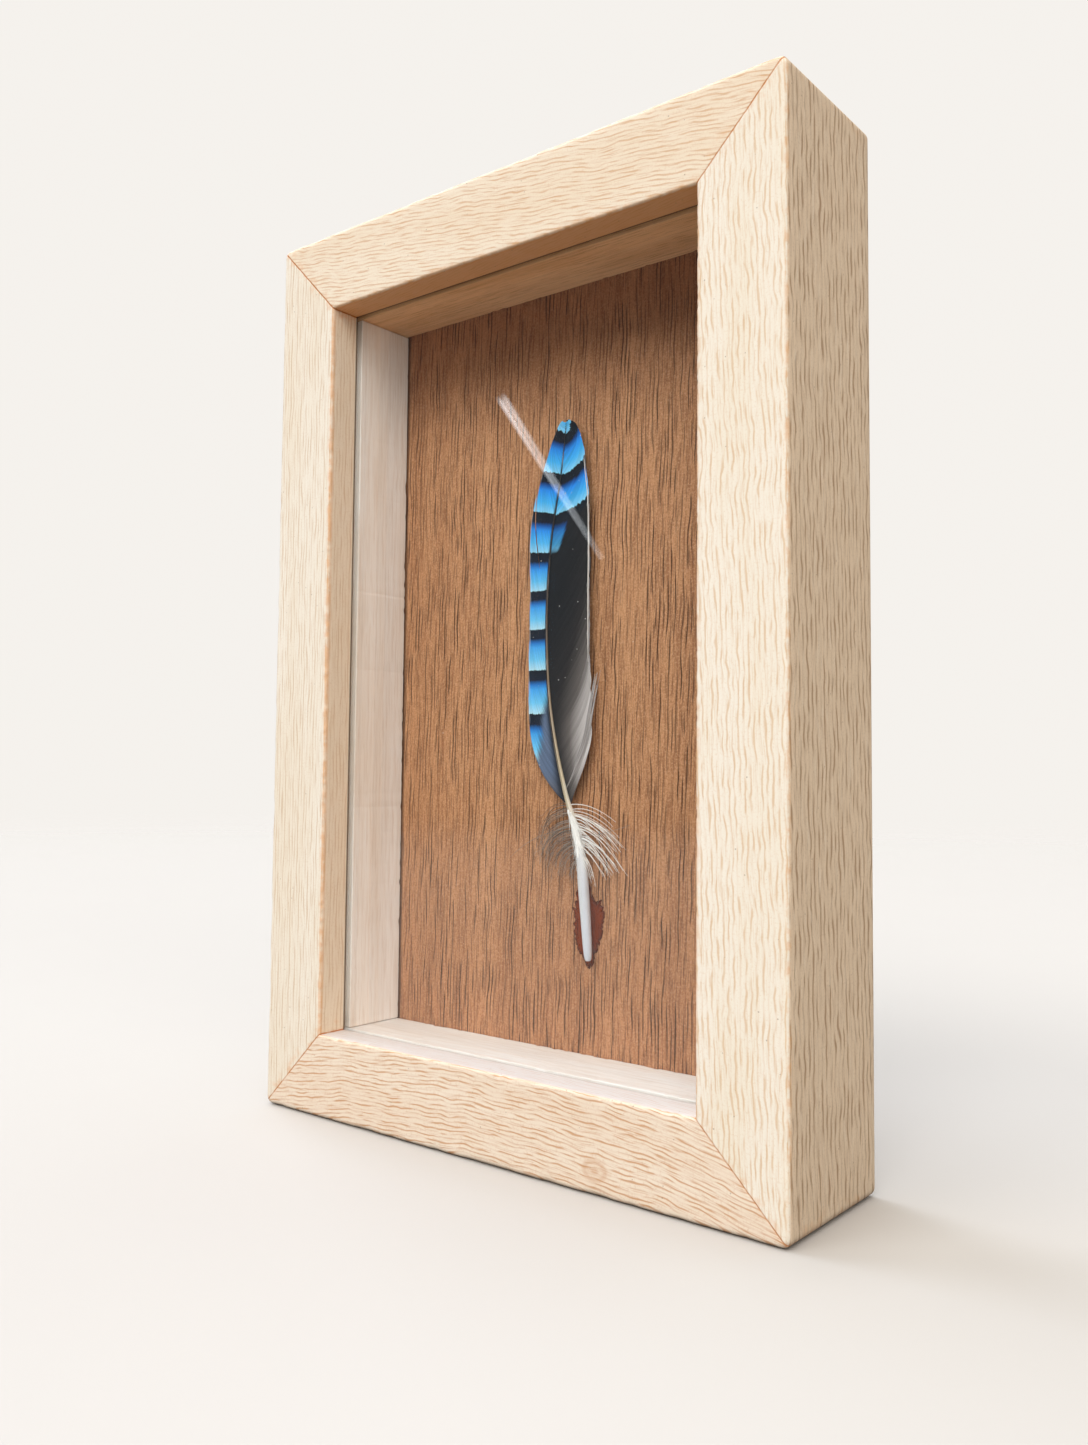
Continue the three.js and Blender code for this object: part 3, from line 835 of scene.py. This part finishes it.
# barb colour: black at each bar's top, then blue that pales to its sharp lower end; elsewhere a ramp from
# black over brown-grey to pale grey, or slate
def barbFinish():
    material = newMaterial("feather_barbs")
    phase = attribute("barPhase")
    part = calc("FRACT", phase)
    deepBars = ramp(part, [
        (0, (13, 16, 23)), (0.25, (14, 20, 34)), (0.34, (24, 88, 172)), (0.45, (42, 146, 246)),
        (0.75, (72, 186, 255)), (1, (138, 216, 255)),
    ])
    paleBars = ramp(part, [
        (0, (20, 23, 32)), (0.23, (24, 31, 48)), (0.33, (44, 122, 206)), (0.44, (74, 172, 248)),
        (0.75, (118, 208, 255)), (1, (190, 236, 255)),
    ])
    bars = blend(remap(phase, 2.5, 6.5), deepBars, paleBars)
    plain = ramp(attribute("shade"), [
        (0, (10, 11, 15)), (0.25, (40, 36, 35)), (0.5, (104, 97, 94)), (0.8, (196, 189, 187)),
        (1, (238, 234, 232)),
    ])
    plain = blend(attribute("slate"), plain, (100, 116, 144))
    colour = blend(attribute("barred"), plain, bars)
    tone = remap(attribute("barbTone"), -1, 1, 0.88, 1.1)
    shades = put("CombineColor", {0: tone, 1: tone, 2: tone}).outputs[0]
    colour = blend(1, colour, shades, "MULTIPLY")
    # pale rim; on the inner vane a painted highlight
    colour = blend(attribute("rim"), colour, (226, 224, 226))
    place = millimetres()
    dust = grouped(specks, stretched(place, 1, 0, 1), 0.9, 0.07, 0.3)
    colour = blend(times(dust, 0.8), colour, (220, 218, 214))
    fine = noise(place, (9, 9, 3), 2)
    rough = remap(fine, 0.3, 0.7, 0.5, 0.68)
    sheen = {"Sheen Weight": 0.2, "Sheen Roughness": 0.5, "Sheen Tint": (0.4, 0.7, 1, 1)}
    surface(colour, rough, bump(fine, 0.02, 0.6), 0.15, sheen)
    return material


# shaft: black at the tip, then black to the left and tan to the right, cream at the vanes' foot, and white
# at the quill
def shaftFinish():
    material = newMaterial("feather_shaft")
    place = millimetres()
    level = calc("DIVIDE", calc("SUBTRACT", parts(place)[2], 19), 62)
    lit = ramp(level, [
        (0, (212, 219, 232)), (0.16, (220, 224, 232)), (0.24, (236, 232, 226)),
        (0.33, (218, 200, 168)), (0.45, (180, 158, 132)), (0.6, (116, 100, 86)),
        (0.75, (52, 47, 46)), (1, (26, 28, 34)),
    ])
    shaded = ramp(level, [
        (0, (212, 219, 232)), (0.2, (222, 222, 224)), (0.3, (198, 182, 152)), (0.4, (70, 62, 56)),
        (0.5, (24, 24, 28)), (1, (20, 22, 28)),
    ])
    colour = blend(remap(attribute("facing"), 0.2, 0.5), shaded, lit)
    cloud = noise(place, (1.5, 1.5, 0.35), 3)
    colour = blend(remap(cloud, 0.5, 0.75, 0, 0.3), colour, (240, 240, 240))
    fine = noise(place, (6, 6, 0.5), 2)
    rough = remap(fine, 0.3, 0.7, 0.25, 0.42)
    surface(colour, rough, bump(fine, 0.01, 0.6), 0.5, {"Coat Weight": 0.2})
    return material


# shaft and quill: a tapered tube along the shaft's line, with a rounded lip and a hollow at the cut end
def buildShaft():
    z = np.linspace(shaft["line"][0][0], shaft["line"][-1][0], shaft["stations"])
    path = np.stack([shaftX(z), featherPlane + 0 * z, z], -1)
    length = np.concatenate([[0], np.cumsum(np.linalg.norm(np.diff(path, axis=0), axis=1))])
    radii = curveThrough(*np.array(shaft["radii"]).T)(length / length[-1])
    lip = np.array([(0.2, 0.16), (0.34, 0.02), (0.55, -0.04), (0.78, 0.03), (0.93, 0.16), (1.0, 0.34)])
    head = path[0] + lip[:, 1:] * (path[1] - path[0]) / np.linalg.norm(path[1] - path[0])
    paths = np.concatenate([head, path[1:]])
    points, facing = tubes(paths, np.concatenate([lip[:, 0] * radii[0], radii[1:]]), shaft["sides"])
    addPiece("feather_shaft", points, "feather", shaftFinish(), values={"facing": facing})


down = {"stations": 14, "sides": 5, "seed": 12}
innerDown = {
    "tips": [(8.1, 35.0), (9.5, 31.2), (9.2, 29.4), (7.4, 29.4), (4.9, 28.2)], "roots": (36.7, 30.8),
    "count": 40, "ahead": 0.5, "rise": 1.2, "radius": 0.074, "jitter": 0.2, "loose": 0.5, "seed": 21,
    "barbules": (5, 0.4, 31),
}
outerDown = {
    "tips": [(-2.6, 33.4), (-3.2, 30.0), (-2.2, 29.8), (-0.6, 28.0), (2.4, 28.4)], "roots": (37.0, 30.6),
    "count": 96, "ahead": 0.85, "rise": 0.6, "radius": 0.033, "jitter": 0.25, "loose": 0.3, "seed": 22,
    "barbules": (4, 0.6, 32),
}
tuft = {"count": 110, "seed": 23, "roots": (31.2, 36.2), "lengths": (1.4, 3.0), "radii": (0.04, 0.075)}
rimHair = {"heights": (75.6, 52.6), "stations": 60, "inset": 0.06, "radius": 0.075}
barbuleRadii = [0.016, 0.014, 0.011, 0.006]
strays = [((2.9, 33.4), (6.0, 33.3), (10.06, 34.78)), ((0.8, 33.9), (-3.4, 33.0), (-6.64, 30.48))]


# quadratic curves from start to tip, each drawn towards its crest, that swell to the front by half a sine
def quadratic(start, crest, tip, plane, swell):
    t = np.linspace(0, 1, down["stations"])[None, :, None]
    flat = (1 - t) ** 2 * start[:, None] + 2 * t * (1 - t) * crest[:, None] + t**2 * tip[:, None]
    y = plane - swell * np.sin(np.pi * t[..., 0])
    return np.stack([flat[..., 0], y + 0 * flat[..., 0], flat[..., 1]], -1), t[..., 0]


# downy barbs: from a root on the shaft over a crest, which lies ahead and above, to the side's line of tips
def downSide(look):
    random = np.random.default_rng(look["seed"])
    count = look["count"]
    share = np.sort(random.uniform(0, 1, count))
    share[0], share[-1] = 0, 1
    tips = np.array(look["tips"], float)
    station = np.linspace(0, 1, len(tips))
    tip = np.stack([curveThrough(station, tips[:, k])(share) for k in (0, 1)], -1)
    root = between(look["roots"], share)
    start = np.stack([shaftX(root), root], -1)
    inner = 1 - np.abs(random.normal(0, look["jitter"], (count, 1)))
    inner[[0, -1]] = 1
    tip = start + (tip - start) * np.clip(inner, 0.35, 1)
    loose = look["loose"] * random.standard_normal((count, 2))
    loose[[0, -1]] = 0
    tip[1:-1] += loose[1:-1] * (0.6, 0.9)
    crest = start + (tip - start) * (look["ahead"], 0.15) + 0.5 * loose[::-1]
    crest[:, 1] += look["rise"] * (1 - 0.6 * share) * random.uniform(0.3, 1.4, count)
    swell = 0.55 * random.uniform(0.0, 1.0, (count, 1))
    paths, t = quadratic(start, crest, tip, featherPlane + 0.1, swell)
    return paths, look["radius"] * random.uniform(0.6, 1.1, (count, 1)) * (1 - 0.7 * t)


# tuft: short strands that hug the shaft below the vanes, each leaving it a little towards its lower end
def downTuft():
    random = np.random.default_rng(tuft["seed"])
    each = (tuft["count"], 1)
    high = random.uniform(*tuft["roots"], each)
    t = np.linspace(0, 1, down["stations"])
    z = high - random.uniform(*tuft["lengths"], each) * t
    lean = random.uniform(-1, 1, each)
    x = shaftX(z) + lean * (0.25 + 0.85 * t**1.5)
    front = 0.46 + 0.1 * random.uniform(0, 1, each)
    y = featherPlane - front * np.sqrt(1 - 0.8 * lean**2) + 0.2 * t
    return np.stack([x, y, z], -1), random.uniform(*tuft["radii"], each) * (1 - 0.8 * t)


# strays: single hairs, each a quadratic curve through the feather's plane
def strayHairs():
    paths, t = quadratic(*np.array(strays).swapaxes(0, 1), featherPlane, 0.3)
    return paths, 0.04 * (1 - 0.6 * t) + 0 * paths[..., 0]


# edge hair: the inner vane's free edge, where the barbs' tips turn along it, pale as a painted highlight;
# thin at both ends like a sine
def edgeHair():
    z = np.linspace(*rimHair["heights"], rimHair["stations"])
    edgeX = curveThrough(*zip(*innerVane["edge"]))
    path = np.stack([edgeX(z) - rimHair["inset"], featherPlane - 0.02 + 0 * z, z], -1)
    belly = np.sin(np.pi * np.linspace(0.04, 0.96, rimHair["stations"])) ** 0.5
    return path[None], rimHair["radius"] * belly[None]


def downPiece(name, paths, radii, sides, material, tones):
    points, _ = tubes(paths, radii, sides)
    values = {"barbTone": tones[:, None, None]}
    addPiece(name, points, "feather", material, values=values)


# barbules: hairs from chance places along each barb, which lean forwards and to one side and sag a little
def barbules(paths, perBarb, reach, seed):
    random = np.random.default_rng(seed)
    grids, rows = paths.shape[:2]
    at = random.uniform(0.12, 0.97, (grids, perBarb)) * (rows - 1)
    i = np.clip(at.astype(int), 0, rows - 2)
    g = np.arange(grids)[:, None]
    s = (at - i)[..., None]
    start = paths[g, i] * (1 - s) + paths[g, i + 1] * s
    along = paths[g, i + 1] - paths[g, i]
    along /= np.linalg.norm(along, axis=-1, keepdims=True)
    side = sideways(along) * random.choice([-1, 1], (grids, perBarb, 1))
    size = reach * random.uniform(0.4, 1.0, (grids, perBarb, 1))
    lean = random.uniform(0.5, 1.4, (grids, perBarb, 1))
    end = start + size * (along * lean + side * 0.55)
    end[..., 1] = start[..., 1] + random.uniform(-0.15, 0.12, (grids, perBarb))
    t = np.linspace(0, 1, 4)[:, None]
    bend = np.array([0, 0, -0.12]) * size[..., None, :] * t * t
    hairs = start[..., None, :] * (1 - t) + end[..., None, :] * t + bend
    return hairs.reshape(-1, 4, 3)


def downFinish(name, light, dark):
    material = newMaterial(name)
    tone = remap(attribute("barbTone"), -1, 1)
    colour = blend(tone, dark, light)
    fine = noise(millimetres(), 6, 2)
    surface(colour, remap(fine, 0.3, 0.7, 0.5, 0.7), bump(fine, 0.01, 0.5), 0.3)
    return material


def buildDown():
    random = np.random.default_rng(down["seed"])
    pale = downFinish("feather_down_pale", (255, 254, 252), (236, 228, 220))
    dim = downFinish("feather_down_dim", (186, 172, 160), (84, 68, 58))
    for label, look, material in (("inner", innerDown, pale), ("outer", outerDown, dim)):
        paths, radii = downSide(look)
        tones = random.uniform(-1, 1, len(paths))
        downPiece("feather_down_" + label, paths, radii, down["sides"], material, tones)
        hairs = barbules(paths, *look["barbules"])
        radii = np.array(barbuleRadii) + 0 * hairs[..., 0]
        tones = random.uniform(-1, 1, len(hairs))
        downPiece("feather_barbules_" + label, hairs, radii, 3, material, tones)
    tones = random.uniform(0.5, 1, tuft["count"])
    downPiece("feather_down_tuft", *downTuft(), down["sides"], pale, tones)
    downPiece("feather_strays", *strayHairs(), down["sides"], dim, np.array([0.2, 0.0]))
    downPiece("feather_edge_hair", *edgeHair(), 6, pale, np.array([-0.2]))


def buildFeather():
    material = barbFinish()
    vanePiece("feather_outer_vane", outerVane, material)
    vanePiece("feather_inner_vane", innerVane, material)
    lockPiece("feather_lock", material)
    buildShaft()
    buildDown()


buildFeather()
print("feather built")

glue = {
    "outline": [(4.1, 28.0), (4.7, 26.9), (5.1, 26.2), (5.6, 26.5), (5.9, 26.1), (6.1, 24.7), (5.9, 23.1),
                (5.4, 21.2), (4.8, 19.9), (4.6, 19.3), (4.0, 18.5), (3.5, 19.1), (3.0, 19.7), (2.3, 20.8),
                (1.8, 22.4), (1.6, 24.3), (1.65, 25.6), (2.0, 26.9), (2.5, 27.5)],
    "height": 0.17, "ragged": 0.16, "columns": 260, "rings": 9,
}


# glue film: the outline drawn in towards its middle ring by ring; its height rises steeply from the rim
def buildGlue():
    outline = np.array(glue["outline"] + glue["outline"][:1])
    around = np.linspace(0, len(outline) - 1, glue["columns"], endpoint=False)
    rim = np.stack([np.interp(around, np.arange(len(outline)), outline[:, k]) for k in (0, 1)], -1)
    middle = rim.mean(0)
    draw = np.clip(waver(around, 0.4, 8), 0, 1) + np.clip(waver(around, 0.16, 9), 0, 1)
    rim = middle + (rim - middle) * (1 - glue["ragged"] * draw[:, None])
    share = np.concatenate([[0.02, 0.5, 1.0], 1 - np.linspace(0.015, 0.98, glue["rings"])])
    height = np.concatenate([[0, 0, 0], glue["height"] * (1 - share[3:] ** 8) ** 0.5])
    flat = middle + (rim - middle) * share[:, None, None]
    swell = 1 - 0.35 * np.clip(waver(flat[..., 0], 0.6, 14) + 0.5 * waver(flat[..., 1], 2.2, 15), 0, 1)
    y = panelFront - 0.02 - height[:, None] * swell
    points = np.stack([flat[..., 0], y, flat[..., 1]], -1)
    material = newMaterial("glue_film")
    place = millimetres()
    strands = grouped(flecks, place, 3, 0.3, 0.6, 0.7)
    colour = blend(times(strands, 0.7), (124, 50, 14), (82, 30, 7))
    colour = blend(remap(attribute("toRim"), 0.8, 0.98, 0, 0.7), colour, (60, 26, 15))
    rough = remap(noise(place, 1.2, 3), 0.3, 0.7, 0.45, 0.65)
    surface(colour, rough, bump(noise(place, (2.5, 2.5, 0.7)), 0.08, 0.7), 0.12)
    values = {"toRim": share[:, None]}
    addPiece("glue_film", points, "glue_spot", material, sharpAngle=50, values=values)


buildGlue()
print("glue built")

# floor, light and camera
floor = {
    "rings": [0.0032, 0.16, 0.48, 1.12, 1.6], "sides": 64, "fade": (0.25, 0.9), "drop": 0.15,
    "colour": (199, 194, 188), "cloud": (206, 202, 194), "soak": 0.65,  # soak: light not thrown back
}


def stagePiece(name, points, faces, material):
    mesh = bpy.data.meshes.new(name)
    mesh.from_pydata(points.reshape(-1, 3).tolist(), [], faces)
    mesh.materials.append(material)
    piece = bpy.data.objects.new(name, mesh)
    scene.collection.objects.link(piece)
    return piece


# floor disc: rings of growing radius round the object, fading out towards the rim
def buildFloor():
    sides = floor["sides"]
    turn = np.linspace(0, 2 * np.pi, sides, endpoint=False)
    r = np.array(floor["rings"])[:, None]
    points = np.stack([r * np.cos(turn), r * np.sin(turn), 0 * r * turn - floor["drop"] * mm], -1)
    material = newMaterial("floor_paper")
    place = put("TexCoord").outputs["Object"]
    far = put("VectorMath", {0: place}, operation="LENGTH").outputs["Value"]
    paper = blend(remap(noise(place, 40), 0.3, 0.7, 0, 0.04), floor["colour"], floor["cloud"])
    bounced = put("LightPath").outputs["Is Diffuse Ray"]
    paper = blend(times(bounced, floor["soak"]), paper, (0, 0, 0, 1))
    alpha = remap(far, *floor["fade"], 1, 0)
    inputs = {"Base Color": paper, "Roughness": 0.85, "Specular IOR Level": 0.1, "Alpha": alpha}
    put("OutputMaterial", {"Surface": put("BsdfPrincipled", inputs).outputs[0]})
    faces = ringQuads(len(r), sides).tolist() + [list(range(sides))]
    stagePiece("floor", points, faces, material).visible_glossy = False


lamps = {
    "key left": ((-0.3, -0.72, 0.66), 0.98, 34, (1.0, 0.99, 0.977)),
    "key right": ((0.28, -0.72, 0.66), 1.42, 34, (1.0, 0.99, 0.977)),
    "fill": ((0.85, -0.5, 0.2), 1.0, 45, (1.0, 0.99, 0.97)),
    "rear": ((0.15, 0.4, 0.9), 0.4, 55, (1.0, 0.96, 0.9)),
    "top": ((-0.04, 0.03, 1.0), 0.6, 7, (0.95, 1.0, 1.04)),
    "left": ((-0.75, 0.0, 0.7), 1.9, 48, (0.88, 1.0, 1.18)),
}


# soft suns, each given by the way to it, its strength, its spread in degrees and its colour
def buildLamps():
    for name, (toLamp, strength, spread, colour) in lamps.items():
        lamp = bpy.data.lights.new(name, "SUN")
        lamp.energy, lamp.angle, lamp.color = strength, radians(spread), colour
        holder = bpy.data.objects.new(name, lamp)
        holder.rotation_euler = Vector(toLamp).to_track_quat("Z", "Y").to_euler()
        scene.collection.objects.link(holder)


streak = {
    "near": (-2.4, -5.0, 82.1), "far": (11.8, -5.0, 62.3), "away": 500, "half": 3.0, "glow": 6.2,
    "rows": 24, "columns": 25,
}


# bright slit that the pane mirrors: its ends lie on the mirrored sight lines through two points of the
# pane; across it are two soft bands, parted by a thin dark line
def buildStreak():
    rows, columns = streak["rows"], streak["columns"]
    eye = np.array(view["place"])
    ends = []
    for point in (streak["near"], streak["far"]):
        ray = np.array(point) - eye
        ray = ray * (1, -1, 1) / np.linalg.norm(ray)
        ends.append(np.array(point) + streak["away"] * ray)
    along = (ends[1] - ends[0]) / np.linalg.norm(ends[1] - ends[0])
    t = np.linspace(0, 1, rows)[:, None, None]
    a = np.linspace(-1, 1, columns)[None, :, None]
    points = between(ends, t) + np.cross(along, ray) * streak["half"] * a * (1 - 0.5 * t)
    r, c = (k.ravel() for k in np.meshgrid(np.arange(rows - 1), np.arange(columns - 1), indexing="ij"))
    first = r * columns + c
    quads = np.stack([first, first + 1, first + columns + 1, first + columns], -1)
    material = newMaterial("slit_glow")
    power = times(attribute("fade"), streak["glow"])
    glow = put("Emission", {"Color": (0.9, 0.95, 1.0, 1), "Strength": power})
    put("OutputMaterial", {"Surface": glow.outputs[0]})
    slit = stagePiece("slit", points * mm, quads.tolist(), material)
    slit.visible_camera = slit.visible_diffuse = slit.visible_shadow = False
    bands = (1 - a**4) * (1 - 0.75 * np.exp(-(a / 0.14) ** 2)) * (1 + 0.3 * waver(a, 0.18, 4))
    fade = easeStep(0, 0.05, t) * (1 - 0.7 * t) * bands
    layer = slit.data.attributes.new("fade", "FLOAT", "POINT")
    layer.data.foreach_set("value", fade.ravel().astype(np.float32))


# room light: brighter from above, and one even cream tone where the camera looks past everything
def buildWorld():
    world = bpy.data.worlds.new("studio")
    world.use_nodes = True
    startTree(world.node_tree)
    up = parts(put("TexCoord").outputs["Generated"])[2]
    sky = ramp(up, [(0.0, (0.08, 0.078, 0.076, 1)), (1.0, (0.635, 0.612, 0.582, 1))])
    path = put("LightPath").outputs
    sky = blend(path["Is Glossy Ray"], sky, (0.06, 0.06, 0.06, 1))  # little veil on the pane
    colour = blend(path["Is Camera Ray"], sky, (0.915, 0.885, 0.845, 1))
    back = put("Background", {"Color": colour, "Strength": 1.0})
    put("OutputWorld", {"Surface": back.outputs[0]})
    scene.world = world


view = {
    "place": (84.62, -104.73, 40.98), "yaw": 39.075, "pitch": 3.411, "roll": -0.545, "lens": 30.213,
    "sensor": 36, "shift": (0.0042, -0.0198),
}


def buildCamera():
    camera = bpy.data.cameras.new("camera")
    camera.lens, camera.sensor_width = view["lens"], view["sensor"]
    camera.shift_x, camera.shift_y = view["shift"]
    camera.clip_start = 0.005
    holder = bpy.data.objects.new("camera", camera)
    scene.collection.objects.link(holder)
    turned = Matrix.Translation([k * mm for k in view["place"]])
    for angle, axis in ((view["yaw"], "Z"), (90 + view["pitch"], "X"), (-view["roll"], "Z")):
        turned = turned @ Matrix.Rotation(radians(angle), 4, axis)
    holder.matrix_world = turned
    scene.camera = holder


buildFloor()
buildWorld()
buildCamera()
buildStreak()
buildLamps()
scene.view_settings.view_transform = "Standard"
scene.cycles.caustics_refractive = False
scene.cycles.caustics_reflective = False
print("floor, light and camera ready")
